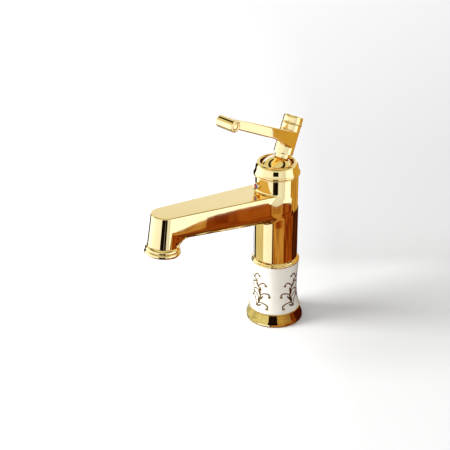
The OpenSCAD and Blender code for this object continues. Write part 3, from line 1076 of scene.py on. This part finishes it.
@dataclass
class Bonnet:
    """Bonnet on the column's spigot, dome round the stem and collar under the hub."""

    dome_r: float = 18.2
    dome_wall: float = 1.4

    def ring(self) -> bpy.types.Object:
        """Returns the bonnet: a double bead, a plain wall, a rounded shoulder and an inner lip."""
        corners = [
            (20.2, 153.0, 0.1), (22.2, 153.0, 0.55), (22.2, 154.15, 0.5), (21.5, 154.3, 0.12),
            (22.4, 154.6, 0.45), (22.35, 155.8, 0.5), (21.75, 156.8, 0.5),
            (21.0, 158.8, 1.2), (20.6, 161.4, 1.2),
            (19.9, 163.6, 1.1), (18.5, 165.0, 0.8), (16.3, 165.0, 0.4),
            (15.65, 164.4, 0.4), (15.65, 162.9, 0.2),
            (16.2, 162.4, 0.2), (19.3, 161.4, 0.3), (19.3, 156.2, 0.1), (20.2, 155.9, 0.1),
        ]
        piece = turned("bonnet_ring", corners, 192)
        return Dressing(GOLD_PLATE, Rides.BODY, ("bonnet",)).put_on(piece, upright())

    def dome(self) -> bpy.types.Object:
        """Returns the thin dome that turns and tilts with the stem."""
        inner = self.dome_r - self.dome_wall
        rim = self.dome_r * math.cos(math.radians(78.0))
        outer_angles = np.linspace(math.asin(rim / self.dome_r), math.acos(7.15 / self.dome_r), 40)
        inner_angles = np.linspace(math.acos(6.0 / inner), math.asin(rim / inner), 24)
        corners = [(self.dome_r * math.cos(a), self.dome_r * math.sin(a), 0.0) for a in outer_angles]
        corners += [(7.15, 16.3, 0.05), (6.0, 16.3, 0.05)]
        corners += [(inner * math.cos(a), inner * math.sin(a), 0.0) for a in inner_angles]
        piece = turned("dome", corners, 160)
        return Dressing(GOLD_PLATE, Rides.HANDLE, ("dome_cap",)).put_on(piece, on_stem())

    def collar(self) -> bpy.types.Object:
        """Returns the collar between dome and hub, bored for the square spindle."""
        corners = [
            (0.0, 14.6), (5.9, 14.6, 0.2), (5.9, 16.3, 0.05),
            (6.9, 16.3, 0.15), (7.1, 16.7, 0.2), (7.1, 20.3, 0.2),
            (6.9, 20.8, 0.15), (0.0, 20.8),
        ]
        piece = turned("stem_collar_ring", corners, 96)
        cut(piece, square_tool("square_bore", 8.0, 13.0, 22.0))
        return Dressing(GOLD_PLATE, Rides.HANDLE, ("stem_collar",)).put_on(piece, on_stem(), BORED_EDGE)

    def build(self) -> list[bpy.types.Object]:
        """Builds bonnet, dome and collar, and returns them."""
        return [self.ring(), self.dome(), self.collar()]


@dataclass
class LeverTrim:
    """Cap on the hub, cross bar at the arm's end and the ringed discs in the bar's two ends."""

    grip_half: float = 10.0

    def cap(self) -> bpy.types.Object:
        """Returns the hub's cap with its bead and the plug that holds it in the well."""
        corners = [
            (0.0, 44.5), (4.9, 44.5, 0.3), (4.9, 49.42, 0.05), (9.8, 49.42, 0.15), (10.3, 49.9, 0.3),
            (10.2, 50.5, 0.3), (9.65, 50.95, 0.15), (9.6, 51.5, 0.2), (9.6, 55.6, 0.7), (9.2, 56.9, 0.6),
            (8.1, 57.6, 0.6), (4.0, 58.1, 2.0), (0.0, 58.2),
        ]
        piece = turned("hub_button", corners, 128)
        return Dressing(GOLD_PLATE, Rides.HANDLE, ("hub_cap",)).put_on(piece, on_stem())

    def bar(self) -> bpy.types.Object:
        """Returns the cross bar, recessed at both ends."""
        end = self.grip_half
        half = [
            (4.5, end - 1.3, 0.1), (4.5, end, 0.15), (5.15, end, 0.3), (5.6, end - 0.35, 0.3),
            (5.7, end - 1.0, 0.3),
        ]
        corners = [(0.0, end - 1.3)] + half + [(r, -z, f) for r, z, f in reversed(half)] + [(0.0, 1.3 - end)]
        piece = turned("cross_bar", corners, 128)
        return Dressing(GOLD_PLATE, Rides.HANDLE, ("grip_bar",)).put_on(piece, on_grip())

    def disc(self, side: int) -> bpy.types.Object:
        """Returns one end disc, with a raised rim, a groove and a domed centre.

        Args:
            side: 1 or -1, for the bar's two ends.
        """
        end = self.grip_half
        corners = [
            (0.0, end - 1.25), (4.45, end - 1.25, 0.1), (4.45, end - 0.1, 0.2), (3.9, end + 0.15, 0.25),
            (3.35, end - 0.2, 0.2), (3.05, end - 0.2, 0.15), (2.8, end + 0.2, 0.2), (1.6, end + 0.45, 0.5),
            (0.0, end + 0.5),
        ]
        piece = turned(f"bar_end_disc_{'near' if side > 0 else 'far'}", corners, 96)
        place = on_grip() @ Matrix.Rotation(0.0 if side > 0 else math.pi, 4, "X")
        return Dressing(GOLD_PLATE, Rides.HANDLE, ("grip_end_caps",)).put_on(piece, place)

    def build(self) -> list[bpy.types.Object]:
        """Builds cap, bar and discs, and returns them."""
        return [self.cap(), self.bar(), self.disc(1), self.disc(-1)]


@dataclass
class Fittings:
    """The small fittings on the casting: the ring round the outlet and the index button."""

    def outlet(self) -> bpy.types.Object:
        """Returns the double-beaded ring that screws into the tip and holds the aerator."""
        corners = [
            (9.8, -3.2, 0.3), (15.5, -3.2, 0.5), (16.5, -2.6, 0.6), (16.9, -1.4, 0.6), (16.8, -0.1, 0.6),
            (16.2, 0.8, 0.3), (15.75, 1.2, 0.15), (16.15, 1.6, 0.3), (16.35, 2.5, 0.5), (16.0, 3.6, 0.5),
            (15.2, 4.5, 0.4), (14.6, 4.9, 0.15), (14.5, 5.2, 0.1), (11.95, 5.2, 0.1), (11.95, 11.4, 0.2),
            (10.9, 11.4, 0.1), (10.9, -2.0, 0.1), (9.8, -2.0, 0.1),
        ]
        piece = turned("outlet_beads", corners, 160)
        return Dressing(GOLD_PLATE, Rides.BODY, ("outlet_ring",)).put_on(piece, on_outlet())

    def button(self) -> bpy.types.Object:
        """Returns the index button: a domed rim round the well of the two coloured halves."""
        corners = [
            (0.0, -1.7), (1.55, -1.7, 0.1), (1.55, -0.15, 0.05), (3.1, -0.15, 0.05), (3.3, 0.3, 0.1),
            (3.3, 1.8, 0.35), (2.85, 2.4, 0.2), (2.5, 2.4, 0.1), (2.5, 1.8, 0.05), (0.0, 1.8),
        ]
        piece = turned("index_cap", corners, 64)
        return Dressing(GOLD_PLATE, Rides.BODY, ("index_button",)).put_on(piece, on_index())

    def build(self) -> list[bpy.types.Object]:
        """Builds outlet ring and index button, and returns them."""
        return [self.outlet(), self.button()]


# ---------------------------------------------------------------- studio


@dataclass(frozen=True)
class Reflector:
    """A curved card round the object that only its gloss sees. Bearings are degrees from the camera's."""

    name: str
    start: float
    end: float
    low: float
    high: float
    high_end: float
    light: tuple[float, float, float]
    second_light: tuple[float, float, float]
    radius: float = 250.0


@dataclass
class Studio:
    """Camera, pale floor, soft light and what the polished metal reflects."""

    bearing: float = 57.0
    elevation: float = 27.1
    distance: float = 1285.0
    target: tuple[float, float, float] = (-26.28, -40.47, 98.0)
    lens: float = 108.0
    softbox_bearing: float = -80.0
    softbox_away: float = 2.05
    softbox_height: float = 1.12
    softbox_size: tuple[float, float] = (1.3, 0.95)
    softbox_watts: float = 76.0
    aimed_at_height: float = 0.08
    reflectors: tuple[Reflector, ...] = (
        Reflector("edge_card", -19.0, -12.0, -260.0, -2.0, -2.0, (0.1, 0.04, 0.012), (0.16, 0.06, 0.02)),
        Reflector("stand_card", -19.0, -8.0, 0.0, 170.0, 170.0, (0.01, 0.006, 0.004), (0.02, 0.012, 0.008)),
        Reflector("amber_card", -12.0, 8.0, -260.0, 0.0, 6.0, (0.36, 0.17, 0.05), (0.62, 0.38, 0.13)),
        Reflector("amber_card_right", 8.0, 41.0, -260.0, 9.0, 19.0, (0.4, 0.2, 0.06), (0.62, 0.38, 0.13)),
        Reflector(
            "umber_card_low", -4.0, 29.0, -13.0, 4.0, 15.0, (0.24, 0.05, 0.01), (0.4, 0.13, 0.03), 249.0,
        ),
        Reflector("umber_card", 41.0, 92.0, -260.0, 20.0, 12.0, (0.18, 0.03, 0.005), (0.4, 0.12, 0.022)),
        Reflector("dark_card", 92.0, 200.0, -260.0, 0.0, 0.0, (0.035, 0.007, 0.003), (0.09, 0.02, 0.006)),
        Reflector("tan_card", 73.0, 150.0, 0.0, 55.0, 55.0, (0.42, 0.23, 0.05), (0.66, 0.44, 0.12)),
        Reflector("tan_card_high", 81.6, 150.0, 55.0, 230.0, 230.0, (0.6, 0.41, 0.1), (0.68, 0.47, 0.12)),
        Reflector("grey_card", -122.0, -66.0, -260.0, 0.0, 0.0, (0.68, 0.71, 0.6), (0.8, 0.83, 0.72)),
        # The foot cards stand close round the foot, and only the foot's gloss sees them. All but foot_stand are
        # a painted reflection of the floor: pale where the floor is lit, amber to umber to dark where it lies
        # in the softbox's shadow on the right.
        Reflector("foot_pale", -178.0, -19.0, -3.0, 22.0, 22.0, (0.5, 0.54, 0.4), (0.85, 0.95, 0.85), 43.0),
        Reflector(
            "foot_stand", -19.0, 8.0, -3.0, 22.0, 22.0, (0.006, 0.004, 0.002), (0.01, 0.006, 0.004), 43.0,
        ),
        Reflector("foot_amber", 8.0, 52.0, -3.0, 22.0, 22.0, (0.28, 0.18, 0.07), (0.54, 0.42, 0.19), 43.0),
        Reflector(
            "foot_umber", 52.0, 68.0, -3.0, 22.0, 22.0, (0.16, 0.035, 0.008), (0.32, 0.09, 0.016), 43.0,
        ),
        Reflector(
            "foot_dark", 68.0, 178.0, -3.0, 22.0, 22.0, (0.03, 0.003, 0.002), (0.07, 0.008, 0.004), 43.0,
        ),
    )

    def towards(self, degrees: float = 0.0) -> Vector:
        """Returns the level direction at a bearing from the camera's, positive to the camera's right."""
        angle = math.radians(self.bearing - 90.0 + degrees)
        return Vector((math.cos(angle), math.sin(angle), 0.0))

    def camera(self) -> None:
        """Makes the camera and gives it to the scene."""
        back = self.towards() * math.cos(math.radians(self.elevation))
        back.z = math.sin(math.radians(self.elevation))
        data = bpy.data.cameras.new("camera")
        data.lens, data.sensor_width = self.lens, 36.0
        data.clip_start, data.clip_end = 0.05, 50.0
        camera = bpy.data.objects.new("camera", data)
        camera.location = (Vector(self.target) + back * self.distance) * MM
        camera.rotation_euler = (-back).to_track_quat("-Z", "Y").to_euler()
        bpy.context.scene.collection.objects.link(camera)
        bpy.context.scene.camera = camera

    def floor(self) -> None:
        """Makes the pale floor, white on the camera's left; on its right the board's colour carries painted
        shade, greyed for light falling off away from the softbox.
        """
        bm = bmesh.new()
        bmesh.ops.create_grid(bm, x_segments=1, y_segments=1, size=6.0)
        mesh = bpy.data.meshes.new("floor")
        bm.to_mesh(mesh)
        bm.free()
        floor = bpy.data.objects.new("floor", mesh)
        bpy.context.scene.collection.objects.link(floor)
        material = bpy.data.materials.new("matt_white_board")
        material.use_nodes = True
        tree = material.node_tree
        shader = tree.nodes["Principled BSDF"]
        shader.inputs["Roughness"].default_value = 0.9
        shader.inputs["Specular IOR Level"].default_value = 0.2
        place = add_node(tree, "ShaderNodeTexCoord")
        painted_shade_side, depth = (
            add_node(
                tree, "ShaderNodeMapRange", {"From Min": low, "From Max": high},
                {"Value": add_node(
                    tree, "ShaderNodeVectorMath", {"operation": "DOT_PRODUCT", 1: self.towards(bearing)},
                    {0: place.outputs["Object"]},
                ).outputs["Value"]},
            ).outputs["Result"]
            for bearing, low, high in ((90.0, -0.07, 0.07), (0.0, -1.0, 0.1))
        )
        # Painted shade: grey stops that darken the board on the camera's right for light falling off away from
        # the softbox. The shade is darkest in a band a little behind the column, where the lighter near floor
        # begins.
        painted_shade_ramp = add_node(tree, "ShaderNodeValToRGB", links={"Fac": depth})
        set_stops(
            painted_shade_ramp.color_ramp,
            [(0.0, linear("FCFCFC")), (0.545, linear("E3E3E3")), (0.736, linear("DDDDDD")),
             (0.8, linear("D7D7D7")), (0.83, linear("E4E4E4")), (1.0, linear("EAEAEA"))],
        )
        # The painted shade is mixed over the white board on the camera's right only.
        tone = add_node(
            tree, "ShaderNodeMixRGB", {"Color1": linear("FCFCFC")},
            {"Fac": painted_shade_side, "Color2": painted_shade_ramp.outputs["Color"]},
        )
        tree.links.new(tone.outputs["Color"], shader.inputs["Base Color"])
        mesh.materials.append(material)
        floor.visible_glossy = False

    def cards(self) -> None:
        """Puts up the reflectors, each a strip swept round the column's axis."""
        for card in self.reflectors:
            bm = bmesh.new()
            start = self.towards(card.start) * card.radius
            edge = bm.edges.new([bm.verts.new((start.x, start.y, z)) for z in (card.low, card.high)])
            sweep = math.radians(card.end - card.start)
            bmesh.ops.spin(
                bm, geom=[*edge.verts, edge], cent=ORIGIN, axis=UP, dvec=ORIGIN,
                angle=sweep, steps=48, use_merge=False, use_duplicate=False,
            )
            for vertex in bm.verts:
                if vertex.co.z == card.high:
                    share = -start.xy.angle_signed(vertex.co.xy) / sweep
                    vertex.co.z += (card.high_end - card.high) * min(max(share, 0.0), 1.0)
            strip = to_object(bm, card.name)
            strip.data.transform(Matrix.Diagonal((MM, MM, MM, 1.0)))
            material = bpy.data.materials.new(card.name)
            material.use_nodes = True
            tree = material.node_tree
            tree.nodes.remove(tree.nodes["Principled BSDF"])
            patches = add_node(
                tree,
                "ShaderNodeTexNoise",
                {"Scale": 1.0 / (38.0 * MM), "Detail": 3.0, "Distortion": 0.6},
                {"Vector": add_node(tree, "ShaderNodeTexCoord").outputs["Object"]},
            )
            light = add_node(tree, "ShaderNodeValToRGB", links={"Fac": patches.outputs["Fac"]})
            set_stops(light.color_ramp, [(0.4, (*card.light, 1.0)), (0.64, (*card.second_light, 1.0))])
            glow = add_node(tree, "ShaderNodeEmission", {"Strength": 1.0}, {"Color": light.outputs["Color"]})
            tree.links.new(glow.outputs["Emission"], tree.nodes["Material Output"].inputs["Surface"])
            strip.data.materials.append(material)
            strip.visible_camera = strip.visible_diffuse = strip.visible_shadow = False
            strip.visible_transmission = strip.visible_volume_scatter = False

    def surroundings(self) -> None:
        """Lights the world: white for the camera and matt surfaces, banded by bearing for gloss."""
        world = bpy.data.worlds.new("studio")
        bpy.context.scene.world = world
        world.use_nodes = True
        tree = world.node_tree
        tree.nodes.clear()
        place = add_node(tree, "ShaderNodeTexCoord")
        turned_to = add_node(
            tree,
            "ShaderNodeMapping",
            {"Rotation": (0.0, 0.0, math.radians(90.0 - self.bearing))},
            {"Vector": place.outputs["Generated"]},
        )
        bearing = add_node(
            tree, "ShaderNodeTexGradient", {"gradient_type": "RADIAL"},
            {"Vector": turned_to.outputs["Vector"]},
        )
        around = add_node(tree, "ShaderNodeValToRGB", links={"Fac": bearing.outputs["Fac"]})
        white, black = (1.0, 1.22, 2.0), (0.004, 0.002, 0.001)
        bands = [
            (-180.0, white, 0.55), (-146.0, white, 0.55), (-145.0, black, 1.0), (-123.0, black, 1.0),
            (-122.0, white, 0.85), (-100.0, white, 0.85), (-70.0, white, 0.6), (8.5, white, 0.5),
            (30.0, white, 0.44), (42.0, white, 0.4), (46.0, white, 0.7),
            (75.0, white, 0.7), (100.0, white, 0.5),
            (180.0, white, 0.55),
        ]
        set_stops(
            around.color_ramp,
            [(0.5 + degrees / 360.0, (*(c * level for c in tint), 1.0)) for degrees, tint, level in bands],
        )
        stand = add_node(tree, "ShaderNodeValToRGB", links={"Fac": bearing.outputs["Fac"]})
        stops = [(-180.0, 0.0), (-19.5, 0.0), (-18.5, 1.0), (6.5, 1.0), (7.5, 0.0), (180.0, 0.0)]
        set_stops(stand.color_ramp, [(0.5 + degrees / 360.0, (c, c, c, 1.0)) for degrees, c in stops])
        heights = add_node(tree, "ShaderNodeSeparateXYZ", links={"Vector": place.outputs["Generated"]})

        nadir, over_stand, aloft, ring, zenith = (
            add_node(
                tree, "ShaderNodeMapRange", {"From Min": low, "From Max": high}, {"Value": heights.outputs["Z"]}
            ).outputs["Result"]
            for low, high in ((-0.6, -0.64), (0.12, 0.16), (0.3, 0.45), (0.71, 0.74), (0.84, 0.88))
        )
        low_stand = add_node(
            tree, "ShaderNodeMixRGB", {"Color2": (0.0, 0.0, 0.0, 1.0)},
            {"Fac": over_stand, "Color1": stand.outputs["Color"]},
        ).outputs["Color"]
        ceiling = (0.405, 0.435, 0.42, 1.0)
        light = around.outputs["Color"]
        for factor, colour in (
            (nadir, (0.07, 0.022, 0.006, 1.0)), (aloft, ceiling), (low_stand, (*black, 1.0)),
            (ring, (0.012, 0.006, 0.003, 1.0)), (zenith, ceiling),
        ):
            light = add_node(
                tree, "ShaderNodeMixRGB", {"Color2": colour}, {"Fac": factor, "Color1": light}
            ).outputs["Color"]
        seen = add_node(tree, "ShaderNodeBackground", {"Strength": 2.0}, {"Color": light})
        path = add_node(tree, "ShaderNodeLightPath")
        strength = add_node(
            tree, "ShaderNodeMapRange", {"To Min": 0.62, "To Max": 1.0},
            {"Value": path.outputs["Is Camera Ray"]},
        )
        plain = add_node(
            tree, "ShaderNodeBackground", {"Color": (1.0, 1.0, 1.0, 1.0)},
            {"Strength": strength.outputs["Result"]},
        )
        mixed = add_node(
            tree, "ShaderNodeMixShader",
            links={
                0: path.outputs["Is Glossy Ray"], 1: plain.outputs["Background"], 2: seen.outputs["Background"]
            },
        )
        add_node(tree, "ShaderNodeOutputWorld", links={"Surface": mixed.outputs["Shader"]})

    def key_light(self) -> None:
        """Hangs a large soft light on the camera's left, so that the shadow falls to the right."""
        data = bpy.data.lights.new("softbox", "AREA")
        data.shape, data.energy = "RECTANGLE", self.softbox_watts
        data.size, data.size_y = self.softbox_size
        light = bpy.data.objects.new("softbox", data)
        from_where = self.towards(self.softbox_bearing) * self.softbox_away
        from_where.z = self.softbox_height
        light.location = from_where
        aim = Vector((0.0, 0.0, self.aimed_at_height)) - from_where
        light.rotation_euler = aim.to_track_quat("-Z", "Y").to_euler()
        light.visible_glossy = False
        bpy.context.scene.collection.objects.link(light)

    def build(self) -> None:
        """Sets up the whole studio."""
        bpy.context.scene.view_settings.view_transform = "Standard"
        self.camera()
        self.floor()
        self.cards()
        self.surroundings()
        self.key_light()
        LOG.info("studio: camera at bearing %.0f, elevation %.1f", self.bearing, self.elevation)


# ---------------------------------------------------------------- the whole


def dress_kept_nodes(nodes: dict[str, bpy.types.Object]) -> None:
    """Gives every frame node that stays its finish.

    Args:
        nodes: The frame's objects by node name.
    """
    for name, finish in KEPT_NODES.items():
        node = nodes[name]
        node.data.materials.clear()
        node.data.materials.append(finish.material())
        LOG.info("%s: kept, %s", name, finish.name)


def main() -> None:
    """Builds the mixer in order, from the foot up."""
    logging.basicConfig(level=logging.INFO, format="%(name)s: %(message)s")
    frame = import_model()
    dress_kept_nodes(frame["nodes"])
    Pedestal().build()
    SpoutCasting().build()
    Fittings().build()
    Bonnet().build()
    LeverCasting().build()
    LeverTrim().build()
    Studio().build()


if __name__ == "__main__":
    main()
